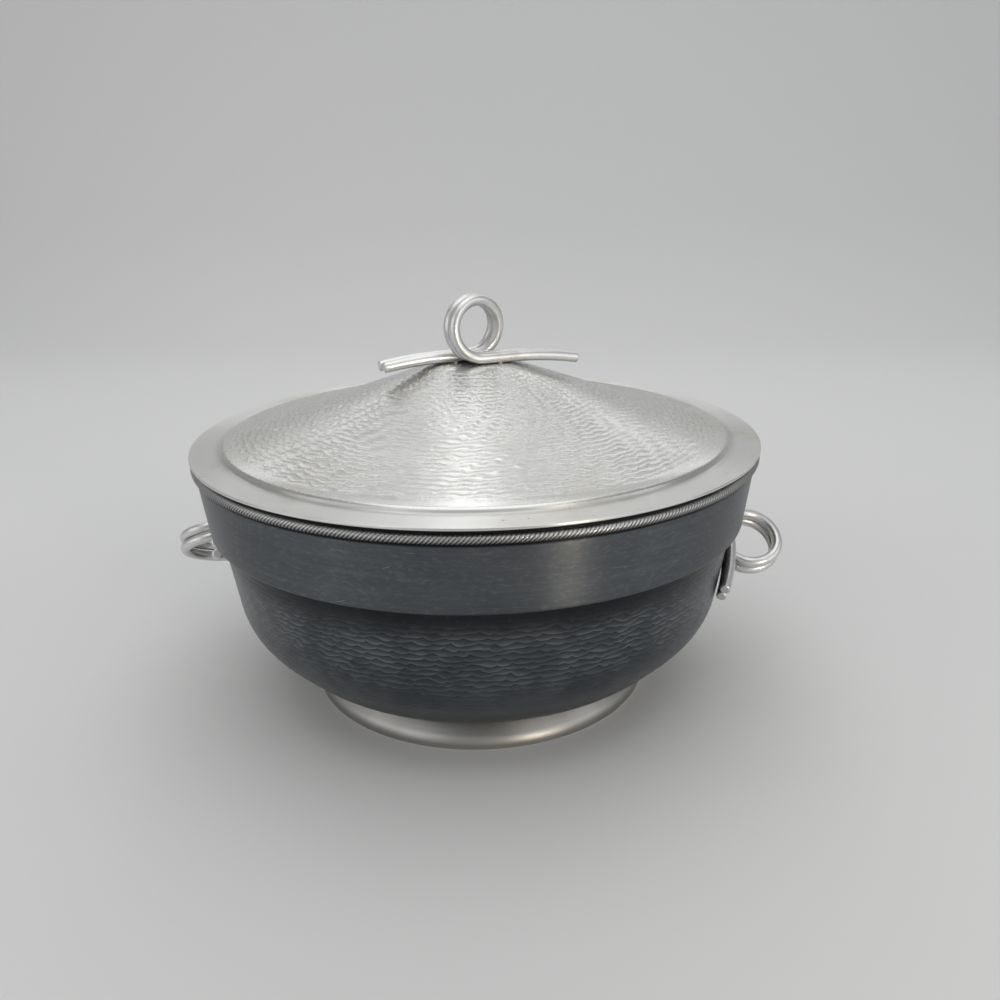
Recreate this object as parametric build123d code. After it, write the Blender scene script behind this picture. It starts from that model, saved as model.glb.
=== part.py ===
"""Round double-walled serving dish with a lift-off lid and looped rod handles.

Millimetres, +Z up. The table is at z = 0, the dish stands on its foot ring about the Z axis,
and the two side handles lie on -X and +X.
"""

from build123d import *
from math import atan, cos, isclose, pi, radians, sin, sqrt, tan
import os

# Upper edge of the band, which the other radii follow
band_radius = 124.8

# Foot ring
foot_height = 12.5
foot_radius = 80.0
foot_wall = 1.4
foot_slope_width = 7.5
foot_edge_height = 3.5
foot_flange_width = 7.1
foot_flange_lap = 1.6
foot_shoulder_bend = 1.5
foot_edge_bend = 6.0

# Outer shell: base, knuckle, wall, step and band
shell_wall = 1.2
base_inset = 26.5
knuckle_rise = 27.5
bowl_taper = 6.5
bowl_rise = 43.0
step_width = 4.1
band_taper = 3.2
band_rise = 28.2
base_bend = 40.0
knuckle_bend = 30.0
step_inner_bend = 1.0
step_outer_bend = 1.0
band_upright = 2.0
band_upright_bend = 4.0

# Rim: rope bead, then the liner's flange
bead_height = 4.0
bead_bulge = 2.0
flange_inset = 0.4

# Inner liner and its insulation
liner_wall = 0.8
liner_gap = 6.0
liner_collar_height = 12.0
liner_base_bend = 36.0
liner_knuckle_bend = 24.0
liner_collar_bend = 6.0
liner_flange_bend = 0.8
rivet_room = 2.6
insulation_gap = 0.3

# Lid shell
lid_wall = 1.2
lid_overhang = 2.2
lid_edge_round = 0.35
lid_flange_width = 12.0
riser_width = 2.6
riser_height = 2.1
riser_lower_bend = 1.8
riser_upper_bend = 1.4
cone_lower_slope = 14.54
cone_upper_slope = 19.68
cone_upper_share = 0.5485
cone_bend = 300.0
crown_margin = 6.0
crown_bend = 30.0

# Lid liner and its insulation
cover_wall = 0.8
cover_gap = 6.0
cover_bend = 1.0
cover_crown_bend = 6.0
skirt_depth = 8.0
skirt_land = 13.0
skirt_clearance = 0.6
lid_rest_gap = 0.3

# Paired rods of the loops
rod_diameter = 4.8
rod_gap = 0.4
rod_tip_length = 2.0
rod_tip_round = 0.8

# Side handles
handle_headroom = 2.4
handle_slant = 30.0
handle_loop_radius = 12.5
handle_arm_length = 40.0
handle_rivet_reach = 8.0
handle_seat_gap = 0.4

# Finial
finial_turn = 32.0
finial_loop_radius = 12.5
finial_arm_run = 12.0
finial_long_droop = 33.0
finial_short_droop = 27.5
finial_arm_bend = 190.0
finial_rivet_inset = 4.0
finial_seat_gap = 0.1

# Rivets and washers inside the double walls
rivet_diameter = 2.4
rivet_head_inset = 0.25
rivet_head_height = 0.8
washer_thickness = 0.6
washer_gap = 0.15
washer_clearance = 0.5
hole_clearance = 0.1

# Derived radii and heights
band_low_radius = band_radius - band_taper
bowl_radius = band_low_radius - step_width
knuckle_radius = bowl_radius - bowl_taper
base_radius = knuckle_radius - base_inset
base_flat_radius = base_radius - (base_bend + shell_wall) * tan(atan(knuckle_rise / base_inset) / 2)
knuckle_height = foot_height + knuckle_rise
step_height = knuckle_height + bowl_rise
bead_low = step_height + band_rise
bead_top = bead_low + bead_height
liner_top = bead_top + liner_wall
cover_low = liner_top + lid_rest_gap
lid_seat = cover_low + cover_wall
lid_radius = band_radius + lid_overhang
lid_flange_top = lid_seat + lid_wall
riser_radius = lid_radius - lid_flange_width
cone_radius = riser_radius - riser_width
crown_radius = finial_arm_run + crown_margin
cone_upper_width = (cone_radius - crown_radius) * cone_upper_share
cone_middle_radius = crown_radius + cone_upper_width
cone_lower_width = cone_radius - cone_middle_radius
cone_height = lid_flange_top + riser_height
cone_middle_height = cone_height + cone_lower_width * tan(radians(cone_lower_slope))
lid_top = cone_middle_height + cone_upper_width * tan(radians(cone_upper_slope))
rod_radius = rod_diameter / 2
rod_spacing = rod_diameter + rod_gap
rod_pitch = 2 * rod_spacing
rivet_radius = rivet_diameter / 2
washer_radius = (rod_spacing - washer_clearance) / 2
rivet_head_radius = washer_radius - rivet_head_inset
wall_lean = atan(bowl_taper / bowl_rise)


def beside(corners, distance):
    """Corners of the line that runs on the left of an open line of corners."""
    points = [Vector(*corner) for corner in corners]
    sides = [(after - before).normalized() for before, after in zip(points, points[1:])]
    lefts = [Vector(-side.Y, side.X) for side in sides]
    mitres = [(one + two) / (1 + one.dot(two)) for one, two in zip(lefts, lefts[1:])]
    shifts = [lefts[0], *mitres, lefts[-1]]
    return [point + shift * distance for point, shift in zip(points, shifts)]


def bend_radii(corners, bends, wall):
    """Radii of a bent sheet's face and of its back, whose smaller radius at each corner is the bend."""
    points = [Vector(*corner) for corner in corners]
    sides = [after - before for before, after in zip(points, points[1:])]
    to_left = [one.cross(two).Z > 0 for one, two in zip(sides, sides[1:])]
    face = [bend + wall if left else bend for bend, left in zip(bends, to_left)]
    back = [bend if left else bend + wall for bend, left in zip(bends, to_left)]
    return face, back


def turned(edges):
    """Solid of revolution about Z of a closed outline drawn as radius and height."""
    return revolve(Plane.XZ * make_face(edges), axis=Axis.Z)


def spun_sheet(corners, bends, wall):
    """Spun sheet whose face runs through the corners and whose back lies on their left."""
    face_radii, back_radii = bend_radii(corners, bends, wall)
    face = FilletPolyline(*corners, radius=face_radii)
    back = FilletPolyline(*beside(corners, wall), radius=back_radii)
    ends = [Line(face @ 0, back @ 0), Line(face @ 1, back @ 1)]
    return turned([*face.edges(), *back.edges(), *ends])


def spun_fill(corners):
    """Solid of revolution of a polygon drawn as radius and height."""
    return turned(Polyline(*corners, close=True).edges())


def bowl_line():
    """Outer face of the bowl from the middle of its base to the step."""
    return [
        (0, foot_height),
        (base_radius, foot_height),
        (knuckle_radius, knuckle_height),
        (bowl_radius, step_height),
    ]


def lid_line():
    """Upper face of the lid from its middle to the foot of its cone."""
    return [
        (0, lid_top),
        (crown_radius, lid_top),
        (cone_middle_radius, cone_middle_height),
        (cone_radius, cone_height),
    ]


def outer_shell():
    """Hammered bowl, step and plain band as one sheet."""
    band = [
        (band_low_radius, step_height),
        (band_radius, bead_low - band_upright),
        (band_radius, bead_low),
    ]
    bends = [base_bend, knuckle_bend, step_inner_bend, step_outer_bend, band_upright_bend]
    return spun_sheet([*bowl_line(), *band], bends, shell_wall)


def liner_line():
    """Outer face of the liner from the middle of its base to the top of its leaning wall."""
    middle, base, knuckle, top = beside(bowl_line(), shell_wall + liner_gap)
    collar_low = bead_top - liner_collar_height
    collar_radius = top.X + (collar_low - top.Y) * tan(wall_lean)
    return [(0, middle.Y), base, knuckle, Vector(collar_radius, collar_low)]


def inner_liner():
    """Food bowl with an upright collar and a flange that lies on the bead."""
    line = liner_line()
    collar_radius = line[-1].X
    rim = [(collar_radius, bead_top), (band_radius - flange_inset, bead_top)]
    bends = [liner_base_bend, liner_knuckle_bend, liner_collar_bend, liner_flange_bend]
    return spun_sheet([*line, *rim], bends, liner_wall)


def bowl_insulation():
    """Blanket that lies against the liner and leaves room for the rivets."""
    outside = beside(bowl_line(), shell_wall + rivet_room)
    inside = beside(bowl_line(), shell_wall + liner_gap - insulation_gap)
    face = FilletPolyline(*outside, radius=[base_bend, knuckle_bend])
    back = FilletPolyline(*inside, radius=[liner_base_bend, liner_knuckle_bend])
    ends = [Line(face @ 0, back @ 0), Line(face @ 1, back @ 1)]
    return turned([*face.edges(), *back.edges(), *ends])


def rim_bead():
    """Half-round ring on the upper edge of the band."""
    inner = band_radius - shell_wall
    middle = bead_low + bead_height / 2
    low = (band_radius, bead_low)
    high = (band_radius, bead_top)
    bulge = ThreePointArc(low, (band_radius + bead_bulge, middle), high)
    back = Polyline(high, (inner, bead_top), (inner, bead_low), low)
    return turned([bulge, *back.edges()])


def foot_ring():
    """Sloping ring with a rounded lower edge and a flange against the bowl's base."""
    shoulder = foot_radius - foot_slope_width
    flange_inner = min(shoulder - foot_flange_width, base_flat_radius - foot_flange_lap)
    corners = [
        (flange_inner, foot_height),
        (shoulder, foot_height),
        (foot_radius, foot_edge_height),
        (foot_radius, 0),
    ]
    inward = [(-radius, height) for radius, height in corners]
    return spun_sheet(inward, [foot_shoulder_bend, foot_edge_bend], foot_wall)


def lid_shell():
    """Hammered cone with a riser and a flat flange whose edge is rounded."""
    corners = [*lid_line(), (riser_radius, lid_flange_top), (lid_radius, lid_flange_top)]
    bends = [crown_bend, cone_bend, riser_upper_bend, riser_lower_bend]
    sheet = spun_sheet([(-radius, height) for radius, height in corners], bends, lid_wall)
    circles = sheet.edges().filter_by(GeomType.CIRCLE)
    rim = [circle for circle in circles if isclose(circle.radius, lid_radius)]
    return fillet(rim, lid_edge_round)


def cover_line():
    """Upper face of the lid liner from the edge of its flange to its middle."""
    collar = liner_line()[-1].X - liner_wall
    skirt = collar - skirt_clearance - cover_wall
    land_height = lid_seat - skirt_depth
    middle, crown, cone, edge = [Vector(radius, height) for radius, height in lid_line()]
    drop = Vector(0, lid_wall + cover_gap)
    return [
        Vector(band_radius - flange_inset, lid_seat),
        Vector(skirt, lid_seat),
        Vector(skirt, land_height),
        Vector(skirt - skirt_land, land_height),
        cone - drop,
        crown - drop,
        middle - drop,
    ]


def lid_liner():
    """Inner cover with a flange, a skirt that drops into the collar and a dome."""
    bends = [cover_bend, cover_bend, cover_bend, cover_bend, cover_crown_bend]
    return spun_sheet([(point.X, point.Y) for point in cover_line()], bends, cover_wall)


def lid_insulation():
    """Filling between the lid and its liner that leaves room for the rivets."""
    middle, crown, cone, edge = [Vector(radius, height) for radius, height in lid_line()]
    low = cover_line()[-3:]
    rise = Vector(0, insulation_gap)
    drop = Vector(0, lid_wall + rivet_room)
    below = [point + rise for point in low]
    return spun_fill([middle - drop, crown - drop, cone - drop, *below])


def arc_from(start, leaving, end):
    """Arc from a start and its direction there to an end."""
    chord = end - start
    along = leaving.dot(chord) / chord.length
    aside = leaving - chord * (along / chord.length)
    half_turn = atan(aside.length / along)
    rise = aside.normalized() * (chord.length / 2 * tan(half_turn / 2))
    return ThreePointArc(start, (start + end) / 2 + rise, end)


def biarc(start, leaving, end, arriving):
    """Two tangent arcs between two points with a direction at each."""
    chord = end - start
    pull = chord.dot(leaving + arriving)
    spread = 2 * (1 - leaving.dot(arriving))
    reach = (sqrt(pull**2 + spread * chord.dot(chord)) - pull) / spread
    before = start + leaving * reach
    after = end - arriving * reach
    middle = (before + after) / 2
    return [arc_from(start, leaving, middle), arc_from(middle, (after - before).normalized(), end)]


class Loop:
    """Rods that lie on a seat, turn once round a loop and lie on the seat again.

    Its own axes: X along the arms, Y along the loop's axis and Z away from the seat.
    """

    def __init__(self, frame, radius, run, reaches, bend, rivet_reach, seat_gap, seat, wall):
        """Keep the loop's place and mean radius, the arms' straight run, curved reaches and bend, the
        way along an arm to its rivet, the gap to the seat, the function that measures from the seat
        and the wall behind the seat."""
        self.frame = frame
        self.radius = radius
        self.seat_gap = seat_gap
        self.seat = seat
        self.wall = wall
        self.run = run
        self.sweeps = {1: reaches[0] / bend, -1: reaches[1] / bend}
        self.bend = bend
        self.rivet_reach = rivet_reach
        self.lean = atan(rod_pitch / (2 * pi * radius))

    def turn_point(self, angle, shift):
        """Point of the loop at an angle from the seat."""
        height = rod_radius + self.seat_gap + self.radius * (1 - cos(angle))
        side = shift + rod_pitch * (angle / (2 * pi) - 1 / 2)
        return Vector(-self.radius * sin(angle), side, height)

    def turn_way(self, angle):
        """Direction of the loop at an angle from the seat."""
        flat = cos(self.lean)
        return Vector(-cos(angle) * flat, sin(self.lean), sin(angle) * flat)

    def arm_point(self, shift, end, run, angle):
        """Point of the first arm (end 1) or last arm (end -1) after a straight run and a curved angle."""
        root = self.turn_point(0 if end > 0 else 2 * pi, shift)
        way = self.turn_way(0) * -end
        fall = Vector(0, 0, self.bend * (1 - cos(angle)))
        return root + way * (run + self.bend * sin(angle)) - fall

    def arm(self, shift, end):
        """Edges of an arm from its tip to the loop."""
        root = self.arm_point(shift, end, 0, 0)
        knee = self.arm_point(shift, end, self.run, 0)
        middle = self.arm_point(shift, end, self.run, self.sweeps[end] / 2)
        tip = self.arm_point(shift, end, self.run, self.sweeps[end])
        curve = ThreePointArc(tip, middle, knee) if end > 0 else ThreePointArc(knee, middle, tip)
        straight = [Line(knee, root) if end > 0 else Line(root, knee)] if self.run > 0 else []
        return [curve, *straight] if end > 0 else [*straight, curve]

    def path(self, shift):
        """Whole centre line of one rod."""
        quarters = [pi / 2 * step for step in range(5)]
        turns = []
        for low, high in zip(quarters, quarters[1:]):
            ends = [self.turn_point(low, shift), self.turn_way(low)]
            turns += biarc(*ends, self.turn_point(high, shift), self.turn_way(high))
        return Wire([*self.arm(shift, 1), *turns, *self.arm(shift, -1)])

    def fastenings(self, shift):
        """Places of one rod's rivets, with Z away from the wall, and the depth of the wall's back there."""
        found = []
        for end in (1, -1):
            run = min(self.rivet_reach, self.run)
            own_point = self.arm_point(shift, end, run, (self.rivet_reach - run) / self.bend)
            point = (self.frame * Pos(*own_point)).position
            out, distance = self.seat(point)
            found.append((Plane(point, z_dir=out).location, distance + self.wall))
        return found

    def rod(self, shift):
        """One bent rod with rounded tips and a blind hole for each rivet."""
        path = self.path(shift)
        section = Plane(path @ 0, z_dir=path % 0) * Circle(rod_radius)
        ends = [Plane(path @ 0, z_dir=-(path % 0)), Plane(path @ 1, z_dir=path % 1)]
        bent = sweep(section, path=path) + [end * rod_tip() for end in ends]
        return self.frame * bent - [place * rivet_hole() for place, depth in self.fastenings(shift)]

    def shifts(self):
        """Offsets of the two rods along the loop's axis."""
        return [-rod_spacing / 2, rod_spacing / 2]

    def all_fastenings(self):
        """Places and depths of every rivet of the loop."""
        return [fastening for shift in self.shifts() for fastening in self.fastenings(shift)]


def rod_tip():
    """Straight end of a rod with a rounded edge."""
    bar = Cylinder(rod_radius, rod_tip_length, align=(Align.CENTER, Align.CENTER, Align.MIN))
    return fillet(bar.edges().sort_by(Axis.Z)[-1], rod_tip_round)


def under(height, radius, top):
    """Round bar of a height that hangs below a level."""
    return Pos(0, 0, top - height) * Cylinder(radius, height, align=(Align.CENTER, Align.CENTER, Align.MIN))


def rivet_hole():
    """Hole for a rivet's shank from a rod's centre line through the wall."""
    return under(rod_diameter + rivet_room, rivet_radius + hole_clearance, 0)


def rivet(depth):
    """Rivet from a rod's centre line to its head behind the washer."""
    shank = depth + washer_gap + washer_thickness
    return under(shank, rivet_radius, 0) + under(rivet_head_height, rivet_head_radius, -shank)


def washer(depth):
    """Ring behind the wall round a rivet's shank."""
    return under(washer_thickness, washer_radius, -depth - washer_gap) - rivet_hole()


def group(maker, fastenings):
    """Rivets or washers at several places."""
    return Compound(children=[place * maker(depth) for place, depth in fastenings])


def wall_radius(height):
    """Radius of the bowl's leaning wall at a height."""
    return bowl_radius - (step_height - height) * tan(wall_lean)


def bowl_seat(point):
    """Outward direction of the bowl's wall beside a point, and the point's distance from the wall."""
    flat = Vector(point.X, point.Y)
    out = flat.normalized() * cos(wall_lean) - Vector(0, 0, sin(wall_lean))
    return out, (flat.length - wall_radius(point.Z)) * cos(wall_lean)


def crown_seat(point):
    """Upward direction of the lid's crown, and a point's height above it."""
    return Vector(0, 0, 1), point.Z - lid_top


def handle_arm_slant():
    """Slant of the side handles' arms, which the coil turns from the loop's own slant."""
    return radians(handle_slant) - atan(rod_pitch / (2 * pi * handle_loop_radius))


def handle_height():
    """Height of a side handle's middle that keeps its rising arm clear of the step."""
    climb = (handle_arm_length + rod_tip_length) * sin(handle_arm_slant())
    aside = rod_spacing / 2 * cos(radians(handle_slant))
    return step_height - handle_headroom - (climb - aside) * cos(wall_lean) - rod_radius


def handle_loop():
    """Loop of the handle on +X, which lies on the bowl's leaning wall."""
    out = Vector(cos(wall_lean), 0, -sin(wall_lean))
    up = Vector(sin(wall_lean), 0, cos(wall_lean))
    slant = radians(handle_slant)
    along = Vector(0, cos(slant), 0) + up * sin(slant)
    middle = Vector(wall_radius(handle_height()), 0, handle_height())
    frame = Plane(middle, x_dir=along, z_dir=out).location
    bend = middle.X / cos(handle_arm_slant()) ** 2
    arms = [0, [handle_arm_length, handle_arm_length], bend, handle_rivet_reach]
    return Loop(frame, handle_loop_radius, *arms, handle_seat_gap, bowl_seat, shell_wall)


def finial_loop():
    """Loop that lies on the lid's crown."""
    frame = Pos(0, 0, lid_top) * Rot(0, 0, finial_turn)
    reaches = [finial_long_droop, finial_short_droop]
    arms = [finial_arm_run, reaches, finial_arm_bend, finial_arm_run - finial_rivet_inset]
    return Loop(frame, finial_loop_radius, *arms, finial_seat_gap, crown_seat, lid_wall)


def opposite(shape):
    """The same shape on the other side of the Z axis."""
    return Rot(0, 0, 180) * shape


def handles():
    """Rods, rivets and washers of both side handles."""
    loop = handle_loop()
    lower, upper = [loop.rod(shift) for shift in loop.shifts()]
    rivets = group(rivet, loop.all_fastenings())
    washers = group(washer, loop.all_fastenings())
    shapes = {"lower_rod": lower, "upper_rod": upper, "rivets": rivets, "washers": washers}
    right = {f"right_handle_{name}": shape for name, shape in shapes.items()}
    left = {f"left_handle_{name}": opposite(shape) for name, shape in shapes.items()}
    return right | left


def finial():
    """Rods, rivets and washers of the finial."""
    loop = finial_loop()
    front, rear = [loop.rod(shift) for shift in loop.shifts()]
    return {
        "finial_front_rod": front,
        "finial_rear_rod": rear,
        "finial_rivets": group(rivet, loop.all_fastenings()),
        "finial_washers": group(washer, loop.all_fastenings()),
    }


def drilled_shell():
    """Outer shell with the holes for both handles' rivets."""
    holes = [place * rivet_hole() for place, depth in handle_loop().all_fastenings()]
    return outer_shell() - holes - [opposite(hole) for hole in holes]


def drilled_lid():
    """Lid shell with the holes for the finial's rivets."""
    return lid_shell() - [place * rivet_hole() for place, depth in finial_loop().all_fastenings()]


def nodes():
    """Every piece of the dish by its name."""
    bowl = {
        "foot_ring": foot_ring(),
        "outer_shell": drilled_shell(),
        "bowl_insulation": bowl_insulation(),
        "inner_liner": inner_liner(),
        "rim_bead": rim_bead(),
    }
    lid = {
        "lid_shell": drilled_lid(),
        "lid_liner": lid_liner(),
        "lid_insulation": lid_insulation(),
    }
    return bowl | handles() | lid | finial()


def main():
    """Write one file for each piece."""
    os.makedirs("parts", exist_ok=True)
    for name, shape in nodes().items():
        export_step(shape, f"parts/{name}.step")


main()
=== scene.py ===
"""Looks of a covered serving dish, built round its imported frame.

The lid and the lower bowl are hammered, the band is brushed, the rim carries a rope bead, and paired rods
make the loops of the finial and of the two handles. Metres, +Z up, in the frame's own axes.
"""

import logging
import math
from dataclasses import dataclass, field
from enum import Enum
from typing import Any, Callable, Sequence

import bpy
import numpy as np
from mathutils import Euler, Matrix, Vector

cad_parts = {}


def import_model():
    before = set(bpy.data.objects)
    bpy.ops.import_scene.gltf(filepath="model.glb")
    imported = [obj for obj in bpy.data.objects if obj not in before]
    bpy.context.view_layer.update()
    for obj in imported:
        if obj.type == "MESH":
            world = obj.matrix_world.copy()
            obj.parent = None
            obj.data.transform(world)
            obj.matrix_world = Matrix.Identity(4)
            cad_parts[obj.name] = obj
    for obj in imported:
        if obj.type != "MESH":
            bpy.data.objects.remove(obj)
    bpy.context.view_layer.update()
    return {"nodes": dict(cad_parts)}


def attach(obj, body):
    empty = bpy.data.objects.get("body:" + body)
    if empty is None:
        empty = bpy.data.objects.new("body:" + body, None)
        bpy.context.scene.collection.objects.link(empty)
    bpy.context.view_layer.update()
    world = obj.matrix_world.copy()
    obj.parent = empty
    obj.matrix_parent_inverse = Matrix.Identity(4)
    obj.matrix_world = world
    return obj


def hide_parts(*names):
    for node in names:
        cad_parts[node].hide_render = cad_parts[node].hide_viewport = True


log = logging.getLogger("serving_dish")

Colour = tuple[float, float, float, float]
Span = tuple[float, float]

# Values that a mesh stores for its material: how far a point is pressed in, the share of hammer marks
# that it keeps, the rows of marks passed so far, and the drift round the axis in marks.
MARKS = "marks"
KEPT = "kept"
ROWS = "rows"
DRIFT = "drift"

# Shader constants of plain metal and of metal that is brushed round the axis.
PLAIN = {"Metallic": 1.0}
BRUSHED = {"Metallic": 1.0, "Anisotropic": 0.9, "Anisotropic Rotation": 0.25}

# Metres within which points are merged, and within which a point counts as lying on a face's line.
MERGED = 1e-6
ON_FACE = 1e-5

# Steps of depth when a surface is pressed in, and the spacing of points that carries its marks.
PRESS_LEVELS = 250
MARK_SPACING = 0.0007

# Degrees over which an edge stays sharp, and the place that the lamps face.
SHARP_OVER = 40.0
DISH_MIDDLE = Vector((0.0, 0.0, 0.09))


class Body(Enum):
    """The two bodies of the frame that pieces ride on."""

    BOWL = "bowl"
    LID = "lid"


class Slot(Enum):
    """The record's material slots."""

    LID = "lid_metal"
    BOWL = "bowl_metal"
    LINER = "liner_metal"
    BEAD = "bead_metal"
    ROD = "rod_metal"
    RIVET = "rivet_metal"
    INSULATION = "insulation"


class Value:
    """A shader value whose arithmetic adds Math nodes."""

    def __init__(self, graph: "Graph", socket: bpy.types.NodeSocket) -> None:
        """Keep the graph and the socket."""
        self.graph = graph
        self.socket = socket

    def _math(self, operation: str, *terms: Any) -> "Value":
        """Result of a Math node on some terms."""
        node = self.graph.node("ShaderNodeMath", {"operation": operation}, dict(enumerate(terms)))
        return Value(self.graph, node.outputs[0])

    def over(self, other: "Value") -> "Value":
        """Angle whose tangent is this value over another."""
        return self._math("ARCTAN2", self, other)

    def __add__(self, other: Any) -> "Value":
        """Sum."""
        return self._math("ADD", self, other)

    __radd__ = __add__

    def __sub__(self, other: Any) -> "Value":
        """Difference."""
        return self._math("SUBTRACT", self, other)

    def __rsub__(self, other: Any) -> "Value":
        """Difference from a number."""
        return self._math("SUBTRACT", other, self)

    def __mul__(self, other: Any) -> "Value":
        """Product."""
        return self._math("MULTIPLY", self, other)

    __rmul__ = __mul__

    def __pow__(self, other: Any) -> "Value":
        """Power."""
        return self._math("POWER", self, other)

    def __truediv__(self, other: Any) -> "Value":
        """Quotient."""
        return self._math("DIVIDE", self, other)

    def whole(self) -> "Value":
        """Largest whole number that isn't above the value."""
        return self._math("FLOOR", self)

    def part(self) -> "Value":
        """What is left above that whole number."""
        return self._math("FRACT", self)

    def above(self, other: Any) -> "Value":
        """One where the value is above another, and zero elsewhere."""
        return self._math("GREATER_THAN", self, other)

    def step(self, low: float, high: float) -> "Value":
        """Smooth step from 0 at one value to 1 at another."""
        settings = {"interpolation_type": "SMOOTHSTEP", "clamp": True}
        inputs = {"Value": self, "From Min": low, "From Max": high}
        return Value(self.graph, self.graph.node("ShaderNodeMapRange", settings, inputs).outputs[0])

    def between(self, rise: Span, fall: Span) -> "Value":
        """Mask that grows to 1 over one span of values and fades over another."""
        return self.step(*rise) * (1 - self.step(*fall))


class Graph:
    """Nodes of one material."""

    def __init__(self, name: str) -> None:
        """Start an empty material.

        Args:
            name: the material's name.
        """
        self.material = bpy.data.materials.new(name)
        self.material.use_nodes = True
        self.tree = self.material.node_tree
        self.tree.nodes.clear()
        self.place = Value(self, self.node("ShaderNodeTexCoord").outputs["Object"])
        split = self.node("ShaderNodeSeparateXYZ", {}, {0: self.place})
        self.x, self.y, self.z = [Value(self, output) for output in split.outputs]

    def node(self, kind: str, settings: dict | None = None, inputs: dict | None = None) -> bpy.types.Node:
        """Add a node.

        Args:
            kind: the node's type.
            settings: its own properties, set first.
            inputs: values or links of its sockets by name or number.

        Returns:
            The node.
        """
        made = self.tree.nodes.new(kind)
        for key, setting in (settings or {}).items():
            setattr(made, key, setting)
        for key, given in (inputs or {}).items():
            if isinstance(given, Value):
                self.tree.links.new(given.socket, made.inputs[key])
            else:
                made.inputs[key].default_value = given
        return made

    def radius(self) -> Value:
        """Distance from the dish's axis."""
        return (self.x * self.x + self.y * self.y) ** 0.5

    def angle(self) -> Value:
        """Angle round the dish's axis in radians."""
        return self.y.over(self.x)

    def stored(self, name: str) -> Value:
        """A value that is stored on the mesh."""
        return Value(self, self.node("ShaderNodeAttribute", {"attribute_name": name}).outputs["Fac"])

    def stretched(self, scale: tuple[float, float, float]) -> Value:
        """Object coordinates scaled along each axis."""
        product = self.node("ShaderNodeVectorMath", {"operation": "MULTIPLY"}, {0: self.place, 1: scale})
        return Value(self, product.outputs[0])

    def vector(self, x: Any, y: Any, z: Any) -> Value:
        """Vector of three values."""
        return Value(self, self.node("ShaderNodeCombineXYZ", {}, {0: x, 1: y, 2: z}).outputs[0])

    def noise(self, place: Value, scale: float, detail: float = 2.0, rough: float = 0.5) -> Value:
        """Noise from 0 to 1.

        Args:
            place: coordinates to read.
            scale: how fine it is.
            detail: number of finer layers.
            rough: strength of the finer layers.

        Returns:
            The noise.
        """
        inputs = {"Vector": place, "Scale": scale, "Detail": detail, "Roughness": rough}
        return Value(self, self.node("ShaderNodeTexNoise", {}, inputs).outputs[0])

    def cloud(self, scale: float) -> Value:
        """Soft uneven patches from 0 to 1."""
        return self.noise(self.place, scale=scale, detail=4.0, rough=0.6)

    def blend(self, amount: Any, under: Any, over: Any) -> Value:
        """Mix of two colours."""
        mixed = self.node("ShaderNodeMix", {"data_type": "RGBA"}, {0: amount, 6: under, 7: over})
        return Value(self, mixed.outputs[2])

    def finish(
        self, constants: dict[str, Any], varying: dict[str, Value], relief: Value, depth: float
    ) -> bpy.types.Material:
        """Close the material with its shader.

        Args:
            constants: sockets that are the same all over.
            varying: sockets that change over the surface.
            relief: height for the bump.
            depth: height of that bump in metres.

        Returns:
            The material.
        """
        bump = self.node("ShaderNodeBump", {}, {"Strength": 1.0, "Distance": depth, "Height": relief})
        normal = Value(self, bump.outputs["Normal"])
        shader = self.node("ShaderNodeBsdfPrincipled", {}, {**constants, **varying, "Normal": normal})
        self.node("ShaderNodeOutputMaterial", {}, {"Surface": Value(self, shader.outputs[0])})
        return self.material


@dataclass(frozen=True)
class Scratches:
    """Sparse, thin scratches on an upright surface, with their length and their rise on the way round."""

    length: float
    slope: float
    girth: float = 0.12
    fineness: float = 1500.0
    wander: float = 40.0
    patch: float = 35.0
    rarity: Span = (0.735, 0.775)

    def mask(self, graph: Graph) -> Value:
        """Make a mask that is 1 on a scratch.

        Args:
            graph: the material's nodes.

        Returns:
            The mask.
        """
        around = graph.angle() * self.girth
        along = around * (1.0 / self.length)
        up = (graph.z - around * self.slope) * self.fineness
        place = graph.vector(along, up, graph.radius() * self.wander)
        lines = graph.noise(place, scale=1.0, detail=1.0).step(*self.rarity)
        return lines * graph.noise(graph.place, scale=self.patch, detail=1.0).step(0.5, 0.6)


def fraction(number: np.ndarray) -> np.ndarray:
    """What is left of numbers above their whole numbers."""
    return number - np.floor(number)


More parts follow.
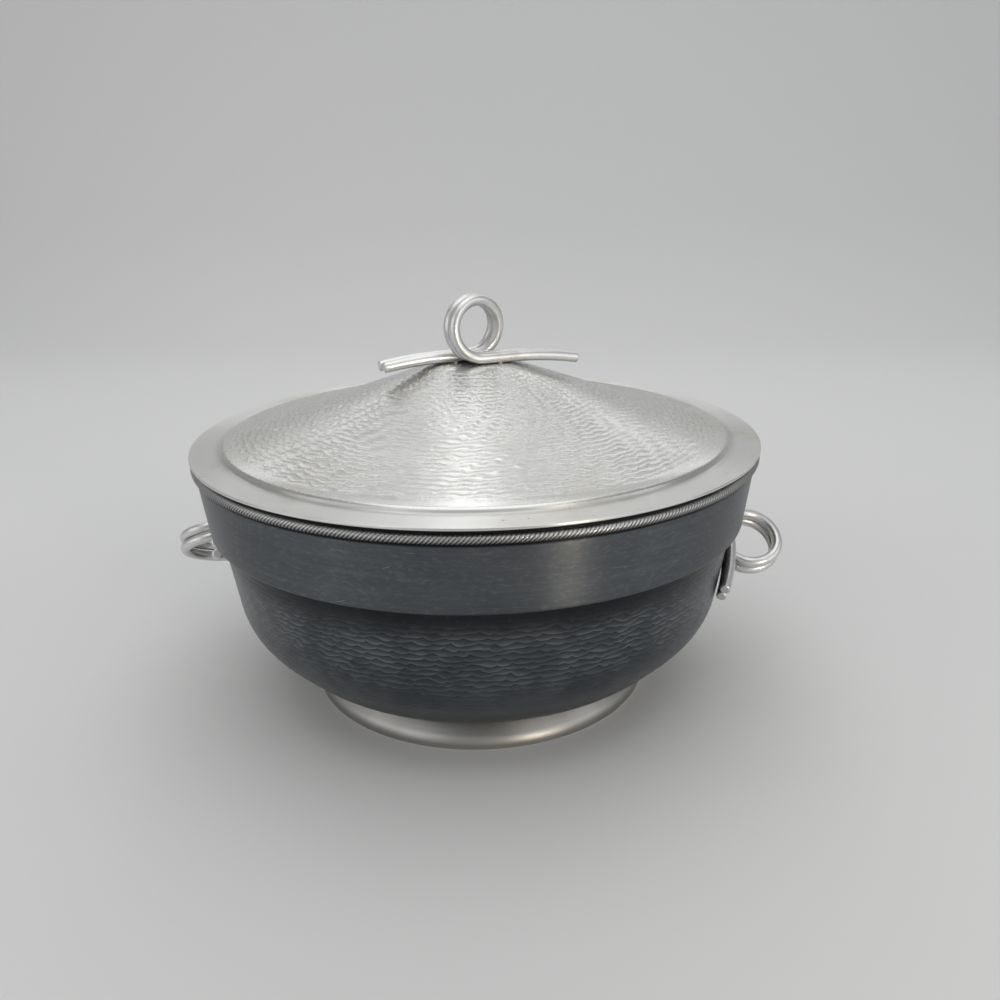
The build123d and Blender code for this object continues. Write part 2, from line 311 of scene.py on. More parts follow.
@dataclass(frozen=True)
class Scales:
    """Rows of hammer marks that overlap like scales."""

    row: float
    count: float
    fewer: float = 0.0
    sag: float = 0.42
    sideways: float = 0.36
    upwards: float = 0.40
    seed: int = 9
    waves: int = 14
    wave_turns: tuple[int, int] = (4, 60)
    wave_swings: Span = (60.0, 900.0)

    def spread(self, run: np.ndarray, angle: np.ndarray) -> tuple[np.ndarray, np.ndarray]:
        """Slightly wandering places among the marks.

        Args:
            run: distance along the outline.
            angle: angle round the axis.

        Returns:
            Rows passed so far, and the drift round the axis in marks.
        """
        dice = np.random.default_rng(self.seed)
        drift, rise = np.zeros(run.shape), np.zeros(run.shape)
        for _ in range(self.waves):
            turns = dice.integers(*self.wave_turns)
            swing = dice.uniform(*self.wave_swings)
            first, second = dice.uniform(0.0, math.tau, 2)
            drift += np.sin(angle * turns + run * swing + first)
            rise += np.sin(angle * turns - run * swing + second)
        usual = self.waves / 2
        return run / self.row + 1.0 + rise * self.upwards / usual, 0.5 + drift * self.sideways / usual

    def rim(self, row: Any, turn: Any, drift: Any, whole: Callable, part: Callable) -> Any:
        """Height of a row's lower rim over the row's own line.

        Args:
            row: number of the row.
            turn: turns round the axis.
            drift: drift round the axis in marks.
            whole: gives the whole number of a value.
            part: gives what is left of a value above it.

        Returns:
            The height in rows.
        """
        side = part(turn * whole(self.count - row * self.fewer) + drift + part(row * 0.5)) - 0.5
        return side * side * (4 * self.sag)

    def heights(
        self, rows: Any, turn: Any, drift: Any, whole: Callable, part: Callable, above: Callable
    ) -> Any:
        """Height inside the mark, from 0 at its lower rim to 1 under the rim of the mark over it.

        Args:
            rows: rows passed so far.
            turn: turns round the axis.
            drift: drift round the axis in marks.
            whole: gives the whole number of a value.
            part: gives what is left of a value above it.
            above: gives 1 where one value is above another.

        Returns:
            The height for numbers or for shader values.
        """
        near = [whole(rows) + step for step in (-1.0, 0.0, 1.0)]
        lower, own, upper = [self.rim(row, turn, drift, whole, part) for row in near]
        inside = above(part(rows), own)
        height = part(rows) + 1.0 - lower + inside * (lower - own - 1.0)
        return height / (own - lower + 1.0 + inside * (upper + lower - own * 2.0))

    def shader_heights(self, graph: Graph) -> Value:
        """Height inside the mark as a shader value."""
        turn = graph.angle() * (1.0 / math.tau)
        rows, drift = graph.stored(ROWS), graph.stored(DRIFT)
        return self.heights(rows, turn, drift, Value.whole, Value.part, Value.above)

    def press(self, made: bpy.types.Object, run: np.ndarray, kept: np.ndarray, depth: float) -> None:
        """Press the marks into a piece and keep their places on its mesh.

        Args:
            made: the piece.
            run: distance along the outline for each vertex.
            kept: share of the depth that each vertex gets.
            depth: full depth in metres.
        """
        spots = places(made)
        angle = np.arctan2(spots[:, 1], spots[:, 0])
        rows, drift = self.spread(run, angle)
        height = self.heights(rows, angle / math.tau, drift, np.floor, fraction, np.greater)
        sink(made, np.clip(4.0 * height * (1.0 - height), 0.0, 1.0) * kept, depth)
        store(made, ROWS, rows)
        store(made, DRIFT, drift)
        store(made, KEPT, kept)


@dataclass(frozen=True)
class LidMetal:
    """Bright satin metal of the lid, stained a little towards its edge and with shade painted round its
    riser.
    """

    clean: Colour = (0.72, 0.72, 0.705, 1.0)
    flat: Colour = (0.84, 0.84, 0.825, 1.0)
    stained: Colour = (0.60, 0.565, 0.49, 1.0)
    # Colour of real pits, and of the painted shade in the creases of the hammer marks.
    pit_and_shade: Colour = (0.20, 0.19, 0.17, 1.0)
    # Colour of the painted shade round the riser.
    riser_shade: Colour = (0.30, 0.295, 0.275, 1.0)
    cone_roughness: float = 0.20
    flange_roughness: float = 0.27
    patch: float = 22.0
    ring_scale: float = 3000.0
    around_scale: float = 6.0
    stains_grow: Span = (0.06, 0.125)
    riser_starts: Span = (0.1126, 0.1138)
    riser_ends: Span = (0.1146, 0.1172)

    def cone(self, scales: Scales) -> bpy.types.Material:
        """Make the material of the hammered cone.

        Args:
            scales: the marks.

        Returns:
            The material.
        """
        graph = Graph("lid_hammered_metal")
        cloud = graph.cloud(self.patch)
        grain = graph.noise(graph.place, scale=420.0, detail=4.0, rough=0.65)
        pits = graph.noise(graph.place, scale=800.0, detail=1.0).step(0.74, 0.8) * cloud.step(0.45, 0.6)
        within = scales.shader_heights(graph)
        kept = graph.stored(KEPT) * (0.35 + cloud.step(0.35, 0.6) * 0.65)
        # Painted shade: the upper part of each hammer mark is darkened, as shade would fall there.
        crease_shade = within.step(0.72, 1.0) * kept
        hollows = (within - within * within) * kept
        metal = self.colour(graph, cloud, self.clean)
        varying = {
            "Base Color": graph.blend(pits * 0.5 + crease_shade * 0.30, metal, self.pit_and_shade),
            "Roughness": self.cone_roughness + cloud * 0.08 + grain * 0.06,
        }
        return graph.finish(PLAIN, varying, grain * 0.2 - pits * 0.2 - hollows * 3.0, depth=0.00012)

    def flange(self) -> bpy.types.Material:
        """Make the material of the flange, which is brushed in rings."""
        graph = Graph("lid_flange_metal")
        cloud = graph.cloud(self.patch)
        across, back = graph.x * self.around_scale, graph.y * self.around_scale
        circles = graph.vector(graph.radius() * self.ring_scale, across, back)
        rings = graph.noise(circles, scale=1.0, detail=3.0)
        pits = graph.noise(graph.place, scale=700.0, detail=1.0).step(0.72, 0.78) * cloud.step(0.5, 0.6)
        metal = self.colour(graph, cloud, self.flat)
        varying = {
            "Base Color": graph.blend(pits * 0.7 + rings * 0.12, metal, self.pit_and_shade),
            "Roughness": self.flange_roughness + cloud * 0.1 + rings * 0.08,
        }
        return graph.finish(BRUSHED, varying, rings * 0.9 - pits * 0.5, depth=0.00006)

    def colour(self, graph: Graph, cloud: Value, clean: Colour) -> Value:
        """Metal with warm stains that grow towards the edge, and with shade painted round the riser.

        Args:
            graph: the material's nodes.
            cloud: soft noise that places the stains.
            clean: colour of the bare metal.

        Returns:
            The colour.
        """
        outer = graph.radius().step(*self.stains_grow)
        spots = graph.noise(graph.place, scale=150.0, detail=3.0, rough=0.6).step(0.62, 0.8)
        stains = cloud.step(0.48, 0.75) * (0.12 + outer * 0.55) + spots * outer * 0.35
        stained = graph.blend(stains, clean, self.stained)
        # Painted shade: the riser is darkened where shade falls on its slope.
        riser = graph.radius().between(self.riser_starts, self.riser_ends)
        return graph.blend(riser * (0.14 + cloud * 0.28), stained, self.riser_shade)


@dataclass(frozen=True)
class BowlMetal:
    """Dulled blue-grey metal of the bowl."""

    hammered: Colour = (0.066, 0.074, 0.083, 1.0)
    mottle: Colour = (0.118, 0.127, 0.140, 1.0)
    rim_highlight: Colour = (0.170, 0.180, 0.190, 1.0)
    band: Colour = (0.100, 0.109, 0.120, 1.0)
    pale: Colour = (0.170, 0.178, 0.186, 1.0)
    scratch: Colour = (0.36, 0.37, 0.38, 1.0)
    # Colour of the painted shade in the marks' hollows, under the step, low down and along the band's
    # edges.
    painted_shade: Colour = (0.016, 0.016, 0.017, 1.0)
    bowl_roughness: float = 0.26
    band_roughness: float = 0.34
    patch: float = 26.0
    # Heights where the painted highlights and painted shade of the hammer marks are strongest.
    marks_shading_starts: Span = (0.040, 0.060)
    marks_shading_ends: Span = (0.069, 0.079)
    step_shade: Span = (0.066, 0.081)
    foot_shade: Span = (0.012, 0.044)
    # Heights of the painted shade along the band's foot and under the bead.
    band_foot: Span = (0.0828, 0.0842)
    band_top: Span = (0.1100, 0.1111)
    bowl_scratches: Scratches = Scratches(length=0.014, slope=0.2)
    band_scratches: tuple[Scratches, ...] = (
        Scratches(length=0.012, slope=0.35),
        Scratches(length=0.020, slope=-0.08),
        Scratches(length=0.009, slope=-0.6),
    )

    def bowl(self, scales: Scales) -> bpy.types.Material:
        """Make the material of the hammered bowl, with highlights painted on the rims of its marks and
        shade painted in their hollows, under the step and low down.

        Args:
            scales: the marks.

        Returns:
            The material.
        """
        graph = Graph("bowl_hammered_metal")
        cloud = graph.cloud(self.patch)
        grain = graph.noise(graph.place, scale=600.0, detail=3.0, rough=0.6)
        within = scales.shader_heights(graph)
        kept = graph.stored(KEPT)
        patches = graph.noise(graph.place, scale=105.0, detail=2.0).step(0.38, 0.62)
        # Painted highlight: the lower rims of the hammer marks are lightened, as they face up towards the
        # light.
        rims = (1 - within.step(0.0, 0.46)) * kept
        middle = graph.z.between(self.marks_shading_starts, self.marks_shading_ends)
        mottled = graph.blend(cloud.step(0.38, 0.68) * 0.45 + patches * 0.2, self.hammered, self.mottle)
        # Painted shade: the upper part of each hammer mark is darkened where shade falls in it.
        hollow_shade = graph.blend(within.step(0.35, 1.0) * kept * (0.16 + middle * 0.26), mottled, self.painted_shade)
        wear_and_highlight = graph.blend(rims * (0.14 + middle * 0.86) * (0.25 + patches * 0.75), hollow_shade, self.rim_highlight)
        # Painted shade under the step and low down towards the foot.
        shade = graph.z.step(*self.step_shade) * 0.84 + (1 - graph.z.step(*self.foot_shade)) * 0.5
        shaded = graph.blend(shade, wear_and_highlight, self.painted_shade)
        scratched = self.bowl_scratches.mask(graph) * 0.3 + grain.step(0.6, 0.8) * 0.12
        varying = {
            "Base Color": graph.blend(scratched, shaded, self.scratch),
            "Roughness": self.bowl_roughness + cloud * 0.1 + grain * 0.05,
        }
        return graph.finish(PLAIN, varying, grain * 0.25 + rims * 0.35, depth=0.00008)

    def brushed_band(self) -> bpy.types.Material:
        """Make the material of the band, which is brushed round and lightly scratched, with shade painted
        under the bead and along its foot.
        """
        graph = Graph("band_brushed_metal")
        brush = graph.noise(graph.stretched((7.0, 7.0, 3600.0)), scale=1.0, detail=2.0)
        broad = graph.noise(graph.stretched((16.0, 16.0, 700.0)), scale=1.0, detail=4.0, rough=0.6)
        cloud = graph.cloud(self.patch)
        specks = graph.noise(graph.stretched((300.0, 300.0, 900.0)), scale=1.0, detail=3.0, rough=0.6)
        rising, level, falling = [scratches.mask(graph) for scratches in self.band_scratches]
        wear_and_highlight = rising + level * 0.7 + falling * 0.5
        streaks = cloud.step(0.40, 0.75) * 0.4 + broad.step(0.4, 0.75) * 0.3 + specks.step(0.5, 0.7) * 0.5
        streaked = graph.blend(streaks, self.band, self.pale)
        scratched = graph.blend(wear_and_highlight * 0.7, streaked, self.scratch)
        # Painted shade: the band is darkened under the bead and along its foot over the step.
        edges = graph.z.step(*self.band_top) * 0.97 + (1 - graph.z.step(*self.band_foot)) * 0.75
        varying = {
            "Base Color": graph.blend(edges, scratched, self.painted_shade),
            "Roughness": self.band_roughness + cloud * 0.08 + broad * 0.06,
        }
        return graph.finish(BRUSHED, varying, brush * 0.7 + broad * 0.5, depth=0.00005)


@dataclass(frozen=True)
class SpunMetal:
    """Metal with fine spinning marks, with shade painted where it is pressed in, on its outer edge and
    low down.
    """

    name: str
    clean: Colour
    dull: Colour
    roughness: float
    shade_colour: Colour = (0.02, 0.02, 0.02, 1.0)
    edge_radius: float = 1.0
    edge_width: float = 0.0004
    shade: Span = (-2.0, -1.0)
    patch: float = 30.0
    ring_scale: float = 2200.0
    around_scale: float = 7.0

    def material(self) -> bpy.types.Material:
        """Make the material."""
        graph = Graph(self.name)
        around = graph.x * self.around_scale + graph.y * self.around_scale
        place = graph.vector(graph.radius() * self.ring_scale, around, graph.z * self.ring_scale)
        rings = graph.noise(place, scale=1.0, detail=3.0)
        cloud = graph.cloud(self.patch)
        fine = graph.noise(graph.place, scale=500.0, detail=3.0, rough=0.6)
        plain = graph.blend(cloud.step(0.4, 0.75) * 0.6 + fine * 0.2, self.clean, self.dull)
        # Painted shade: the pressed grooves, the outer edge and the lower part are darkened, as shade
        # would fall there.
        edge = graph.radius().step(self.edge_radius - self.edge_width, self.edge_radius)
        under = (1 - graph.z.step(*self.shade)) * 0.85
        colour = graph.blend(graph.stored(MARKS).step(0.1, 0.8) + edge + under, plain, self.shade_colour)
        varying = {"Base Color": colour, "Roughness": self.roughness + cloud * 0.1 + rings * 0.07}
        return graph.finish(PLAIN, varying, rings + fine * 0.4, depth=0.00003)


@dataclass(frozen=True)
class SatinRod:
    """Satin metal of the rods with faint drawing marks and small nicks."""

    bright: Colour = (0.76, 0.76, 0.75, 1.0)
    tarnish: Colour = (0.48, 0.465, 0.435, 1.0)
    roughness: float = 0.27
    patch: float = 120.0

    def material(self) -> bpy.types.Material:
        """Make the material."""
        graph = Graph("satin_rod_metal")
        cloud = graph.cloud(self.patch)
        nicks = graph.noise(graph.place, scale=620.0, detail=1.0).step(0.7, 0.78)
        fine = graph.noise(graph.place, scale=1500.0, detail=2.0)
        colour = graph.blend(cloud.step(0.48, 0.8) * 0.6 + nicks * 0.25, self.bright, self.tarnish)
        varying = {"Base Color": colour, "Roughness": self.roughness + cloud * 0.12 + fine * 0.05}
        return graph.finish(PLAIN, varying, fine * 0.4 - nicks * 0.5, depth=0.00003)


@dataclass(frozen=True)
class FibreBlanket:
    """Pale fibre of the hidden insulation."""

    light: Colour = (0.82, 0.79, 0.70, 1.0)
    dark: Colour = (0.60, 0.56, 0.47, 1.0)

    def material(self) -> bpy.types.Material:
        """Make the material."""
        graph = Graph("fibre_blanket")
        strands = graph.noise(graph.stretched((900.0, 300.0, 900.0)), scale=1.0, detail=5.0, rough=0.7)
        lumps = graph.noise(graph.place, scale=60.0, detail=3.0)
        colour = graph.blend(strands * 0.6 + lumps * 0.3, self.light, self.dark)
        varying = {"Base Color": colour, "Roughness": 0.85 + strands * 0.1}
        return graph.finish({"Metallic": 0.0}, varying, strands + lumps, depth=0.0006)


@dataclass(frozen=True)
class StageFinish:
    """Plain pale paper of the floor and backdrop."""

    pale: Colour = (0.78, 0.78, 0.775, 1.0)

    def material(self) -> bpy.types.Material:
        """Make the material."""
        graph = Graph("pale_paper")
        grain = graph.noise(graph.place, scale=300.0, detail=2.0)
        return graph.finish({"Base Color": self.pale, "Roughness": 0.9}, {}, grain, depth=0.00002)


@dataclass(frozen=True)
class Corner:
    """Corner of a spun outline, with its bend and the spacing of points on the run after it."""

    radius: float
    height: float
    bend: float = 0.0
    spacing: float = 0.02

    def point(self) -> Vector:
        """Place of the corner as radius and height."""
        return Vector((self.radius, self.height))


def rounded(corners: Sequence[Corner]) -> list[Vector]:
    """Points along a line of corners with its bends rounded.

    Args:
        corners: the corners in order.

    Returns:
        The points as radius and height.
    """
    points = [corners[0].point()]
    for before, corner, after in zip(corners, corners[1:], corners[2:]):
        coming = (corner.point() - before.point()).normalized()
        leaving = (after.point() - corner.point()).normalized()
        turn = math.atan2(coming.cross(leaving), coming.dot(leaving))
        reach = corner.bend * math.tan(abs(turn) / 2)
        middle = corner.point() - coming * reach + coming.orthogonal() * math.copysign(corner.bend, turn)
        spacing = min(before.spacing, corner.spacing)
        parts = max(4, math.ceil(corner.bend * abs(turn) / spacing)) if corner.bend else 1
        start = corner.point() - coming * reach
        fill_run(points, start, before.spacing)
        for part in range(1, parts + 1):
            angle = turn * part / parts
            arm = start - middle
            across = arm.x * math.cos(angle) - arm.y * math.sin(angle)
            upward = arm.x * math.sin(angle) + arm.y * math.cos(angle)
            points.append(middle + Vector((across, upward)))
    fill_run(points, corners[-1].point(), corners[-2].spacing)
    return points


def fill_run(points: list[Vector], end: Vector, spacing: float) -> None:
    """Add a straight run of evenly spaced points.

    Args:
        points: the line so far, which grows.
        end: the run's last point.
        spacing: the largest distance between points.
    """
    start = points[-1].copy()
    parts = max(1, math.ceil((end - start).length / spacing))
    points.extend(start.lerp(end, part / parts) for part in range(1, parts + 1))


def set_back(corners: Sequence[Corner], wall: float, spacing: float = 0.03) -> list[Corner]:
    """Corners of a sheet's back, on the left of its face.

    Args:
        corners: corners of the face.
        wall: the sheet's thickness.
        spacing: distance between points on the back.

    Returns:
        Corners of the back with their own bends and wide spacing.
    """
    points = [corner.point() for corner in corners]
    sides = [(after - before).normalized() for before, after in zip(points, points[1:])]
    lefts = [side.orthogonal() for side in sides]
    inner = [(one + two) / (1 + one.dot(two)) for one, two in zip(lefts, lefts[1:])]
    shifts = [lefts[0], *inner, lefts[-1]]
    turns = [0.0, *[one.cross(two) for one, two in zip(sides, sides[1:])], 0.0]
    made = []
    for corner, shift, turn in zip(corners, shifts, turns):
        place = corner.point() + shift * wall
        bend = max(0.0, corner.bend - wall if turn > 0 else corner.bend + wall) if corner.bend else 0.0
        made.append(Corner(place.x, place.y, bend=bend, spacing=spacing))
    return made


def deselect() -> None:
    """Leave edit mode and select nothing."""
    if bpy.context.object and bpy.context.object.mode != "OBJECT":
        bpy.ops.object.mode_set(mode="OBJECT")
    bpy.ops.object.select_all(action="DESELECT")


def start_at(name: str, place: Vector) -> bpy.types.Object:
    """Add a plane, draw it together to one vertex at a place, and stay in edit mode.

    Args:
        name: the new object's name.
        place: where the vertex goes.

    Returns:
        The object.
    """
    deselect()
    bpy.ops.mesh.primitive_plane_add(size=0.01)
    made = bpy.context.active_object
    made.name = name
    bpy.ops.object.mode_set(mode="EDIT")
    bpy.ops.mesh.select_mode(type="VERT")
    bpy.ops.mesh.select_all(action="SELECT")
    bpy.ops.mesh.merge(type="CENTER")
    bpy.ops.transform.translate(value=place)
    return made


def spin_outline(name: str, outline: Sequence[Vector], steps: int) -> bpy.types.Object:
    """Extrude a vertex along an outline and spin the line round the axis.

    Args:
        name: the piece's name.
        outline: points as radius and height.
        steps: number of segments round the axis.

    Returns:
        The piece, closed and with its faces outwards.
    """
    spots = [Vector((point.x, 0.0, point.y)) for point in outline]
    made = start_at(name, spots[0])
    for before, after in zip(spots, spots[1:]):
        bpy.ops.mesh.extrude_region_move(TRANSFORM_OT_translate={"value": after - before})
    bpy.ops.object.mode_set(mode="OBJECT")
    turning = made.modifiers.new("turning", "SCREW")
    turning.steps = turning.render_steps = steps
    turning.use_merge_vertices = True
    turning.merge_threshold = MERGED
    bpy.ops.object.modifier_apply(modifier=turning.name)
    bpy.ops.object.mode_set(mode="EDIT")
    bpy.ops.mesh.select_all(action="SELECT")
    bpy.ops.mesh.remove_doubles(threshold=MERGED)
    bpy.ops.mesh.normals_make_consistent(inside=False)
    bpy.ops.object.mode_set(mode="OBJECT")
    return made


def places(made: bpy.types.Object) -> np.ndarray:
    """Places of a mesh's vertices as rows of three numbers."""
    flat = np.zeros(len(made.data.vertices) * 3)
    made.data.vertices.foreach_get("co", flat)
    return flat.reshape(-1, 3)


def store(made: bpy.types.Object, name: str, shares: np.ndarray) -> None:
    """Keep a value for each vertex on the mesh."""
    kept = made.data.attributes.new(name, "FLOAT", "POINT")
    kept.data.foreach_set("value", shares.astype(np.float32))


def sink(made: bpy.types.Object, shares: np.ndarray, depth: float) -> None:
    """Press a surface in along its normals with a Displace modifier, and keep the marks on the mesh.

    Args:
        made: the piece.
        shares: share of the depth for each vertex.
        depth: full depth in metres.
    """
    group = made.vertex_groups.new(name="pressed")
    levels = np.round(np.clip(shares, 0.0, 1.0) * PRESS_LEVELS).astype(int)
    for level in range(1, PRESS_LEVELS + 1):
        group.add(np.nonzero(levels == level)[0].tolist(), level / PRESS_LEVELS, "REPLACE")
    pressing = made.modifiers.new("pressing", "DISPLACE")
    pressing.vertex_group = group.name
    pressing.mid_level = 0.0
    pressing.strength = -depth
    bpy.context.view_layer.objects.active = made
    bpy.ops.object.modifier_apply(modifier=pressing.name)
    made.vertex_groups.clear()
    store(made, MARKS, shares)


def smooth(made: bpy.types.Object, degrees: float = SHARP_OVER) -> None:
    """Shade a piece smooth except over sharp edges.

    Args:
        made: the piece.
        degrees: the least angle of an edge that stays sharp.
    """
    deselect()
    made.select_set(True)
    bpy.context.view_layer.objects.active = made
    bpy.ops.object.shade_smooth_by_angle(angle=math.radians(degrees))


def dress(
    made: bpy.types.Object, material: bpy.types.Material, body: Body, slot: Slot, *nodes: str
) -> bpy.types.Object:
    """Give a finished piece its material and body, and let it stand for CAD nodes.

    Args:
        made: the piece.
        material: its material.
        body: the body that carries it.
        slot: the record's slot; not used.
        nodes: the nodes that it stands for.

    Returns:
        The piece.
    """
    made.data.materials.clear()
    made.data.materials.append(material)
    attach(made, body.value)
    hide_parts(*nodes)
    log.info("%s: %d faces on %s", made.name, len(made.data.polygons), body.value)
    return made


def middles(made: bpy.types.Object) -> np.ndarray:
    """Middles of a mesh's faces as rows of three numbers."""
    flat = np.zeros(len(made.data.polygons) * 3)
    made.data.polygons.foreach_get("center", flat)
    return flat.reshape(-1, 3)


def dress_part(made: bpy.types.Object, material: bpy.types.Material, chosen: np.ndarray) -> None:
    """Give some faces of a dressed piece a finish of their own.

    Args:
        made: the piece.
        material: the finish of the chosen faces.
        chosen: true for each face that gets it.
    """
    made.data.materials.append(material)
    last = len(made.data.materials) - 1
    made.data.polygons.foreach_set("material_index", chosen.astype(np.int32) * last)
    made.data.update()


@dataclass
class SpunSheet:
    """Sheet spun to an outline and closed by its back, with corners of its own round its first edge."""

    name: str
    face: list[Corner]
    wall: float
    steps: int
    edge: list[Corner] = field(default_factory=list)

    def outline(self) -> list[Vector]:
        """Points along the edge and the face, and back along the other side."""
        face = rounded([*self.edge, *self.face])
        back = rounded(set_back(self.face, self.wall))
        closing = [] if face[0].x == 0 else [face[0]]
        return [*face, *reversed(back), *closing]

    def build(self) -> bpy.types.Object:
        """Spin the sheet."""
        return spin_outline(self.name, self.outline(), self.steps)

    def face_line(self) -> tuple[np.ndarray, np.ndarray]:
        """Points along the face as rows of radius and height, and the distance to each."""
        line = np.array([tuple(point) for point in rounded(self.face)])
        return line, np.concatenate([[0.0], np.cumsum(np.hypot(*np.diff(line, axis=0).T))])

    def runs_between(self, first: float, last: float) -> tuple[float, float]:
        """Distances along the face where it first passes two radii.

        Args:
            first: the first radius.
            last: the last radius.

        Returns:
            The two distances.
        """
        line, runs = self.face_line()
        way = 1.0 if line[-1, 0] > line[0, 0] else -1.0
        return tuple(float(np.interp(way * at, way * line[:, 0], runs)) for at in (first, last))

    def runs_of(
        self, made: bpy.types.Object, start: float, end: float, fade: float
    ) -> tuple[np.ndarray, np.ndarray]:
        """Distance along the face of each vertex, and its share of marks between two distances.

        Args:
            made: the spun piece.
            start: distance along the face where the marks begin.
            end: distance along the face where they stop.
            fade: distance over which they grow.

        Returns:
            The distances and the shares.
        """
        line, runs = self.face_line()
        spots = places(made)
        outward = np.hypot(spots[:, 0], spots[:, 1])[:, None] - line[None, :, 0]
        upward = spots[:, 2][:, None] - line[None, :, 1]
        gaps = np.hypot(outward, upward)
        nearest = gaps.argmin(axis=1)
        on_face = gaps[np.arange(len(spots)), nearest] < ON_FACE
        run = runs[nearest]
        growing = np.clip((run - start) / fade, 0.0, 1.0)
        fading = np.clip((end - run) / fade, 0.0, 1.0)
        return run, growing * fading * on_face


@dataclass
class Lid:
    """Lid with a hammered cone, a riser and a flat flange with a rounded edge."""

    top: float = 0.149974
    crown_radius: float = 0.018
    cone_middle: Span = (0.069778, 0.131455)
    cone_foot: Span = (0.1128, 0.1203)
    riser_foot: Span = (0.1142, 0.1183)
    rim_radius: float = 0.127
    edge_bend: float = 0.00045
    edge_spacing: float = 0.0002
    wall: float = 0.0012
    steps: int = 470
    scales: Scales = Scales(
        row=0.0029, count=116.0, fewer=2.5, sag=0.26, sideways=0.5, upwards=0.45, seed=4
    )
    depth: float = 0.00020
    plain_foot: float = 0.0035
    plain_crown: float = 0.001
    fade: float = 0.003
    flange_overlap: float = 0.001
    metal: LidMetal = LidMetal()

    def edge(self) -> list[Corner]:
        """Corners round the rim from its underside to its top."""
        flange = self.riser_foot[1]
        inset = self.rim_radius - 2 * self.edge_bend
        return [
            Corner(inset, flange - self.wall, spacing=self.edge_spacing),
            Corner(self.rim_radius, flange - self.wall, bend=self.edge_bend, spacing=self.edge_spacing),
            Corner(self.rim_radius, flange, bend=self.edge_bend, spacing=self.edge_spacing),
        ]

    def face(self) -> list[Corner]:
        """Corners of the upper face from inside the rim to the middle."""
        inset = self.rim_radius - 2 * self.edge_bend
        return [
            Corner(inset, self.riser_foot[1], spacing=0.004),
            Corner(*self.riser_foot, bend=0.0016, spacing=0.0003),
            Corner(*self.cone_foot, bend=0.0026, spacing=MARK_SPACING),
            Corner(*self.cone_middle, bend=0.300, spacing=MARK_SPACING),
            Corner(self.crown_radius, self.top, bend=0.0312, spacing=0.006),
            Corner(0.0, self.top),
        ]

    def build(self) -> bpy.types.Object:
        """Spin, hammer and dress the lid."""
        sheet = SpunSheet("lid_hammered", self.face(), self.wall, self.steps, self.edge())
        made = sheet.build()
        foot, crown = self.cone_foot[0] - self.plain_foot, self.crown_radius + self.plain_crown
        start, end = sheet.runs_between(foot, crown)
        self.scales.press(made, *sheet.runs_of(made, start, end, self.fade), self.depth)
        smooth(made)
        dress(made, self.metal.cone(self.scales), Body.LID, Slot.LID, "lid_shell")
        outer = np.hypot(*middles(made)[:, :2].T) > self.riser_foot[0] - self.flange_overlap
        dress_part(made, self.metal.flange(), outer)
        return made


@dataclass
class Bowl:
    """Hammered bowl, step and plain band."""

    foot_height: float = 0.0125
    base: float = 0.0845
    knuckle: Span = (0.111, 0.040)
    step: Span = (0.1175, 0.083)
    band_foot: float = 0.1216
    band_top: Span = (0.1248, 0.1116)
    upright: float = 0.002
    wall: float = 0.0012
    steps: int = 470
    scales: Scales = Scales(row=0.0024, count=98.0)
    depth: float = 0.00018
    marked_base: float = 0.012
    plain_step: float = 0.0004
    fade: float = 0.004
    band_overlap: float = 0.0002
    metal: BowlMetal = BowlMetal()

    def face(self) -> list[Corner]:
        """Corners of the outer face from the middle of the base to the bead."""
        return [
            Corner(0.0, self.foot_height, spacing=0.02),
            Corner(self.base, self.foot_height, bend=0.0412, spacing=MARK_SPACING),
            Corner(*self.knuckle, bend=0.0312, spacing=MARK_SPACING),
            Corner(*self.step, bend=0.001, spacing=0.002),
            Corner(self.band_foot, self.step[1], bend=0.0022, spacing=0.006),
            Corner(self.band_top[0], self.band_top[1] - self.upright, bend=0.0052, spacing=0.002),
            Corner(*self.band_top),
        ]

    def build(self) -> bpy.types.Object:
        """Spin, hammer and dress the bowl."""
        sheet = SpunSheet("bowl_and_band", self.face(), self.wall, self.steps)
        made = sheet.build()
        start, end = sheet.runs_between(self.base - self.marked_base, self.step[0] - self.plain_step)
        self.scales.press(made, *sheet.runs_of(made, start, end, self.fade), self.depth)
        smooth(made)
        dress(made, self.metal.bowl(self.scales), Body.BOWL, Slot.BOWL, "outer_shell")
        upper = middles(made)[:, 2] > self.step[1] - self.band_overlap
        dress_part(made, self.metal.brushed_band(), upper)
        return made


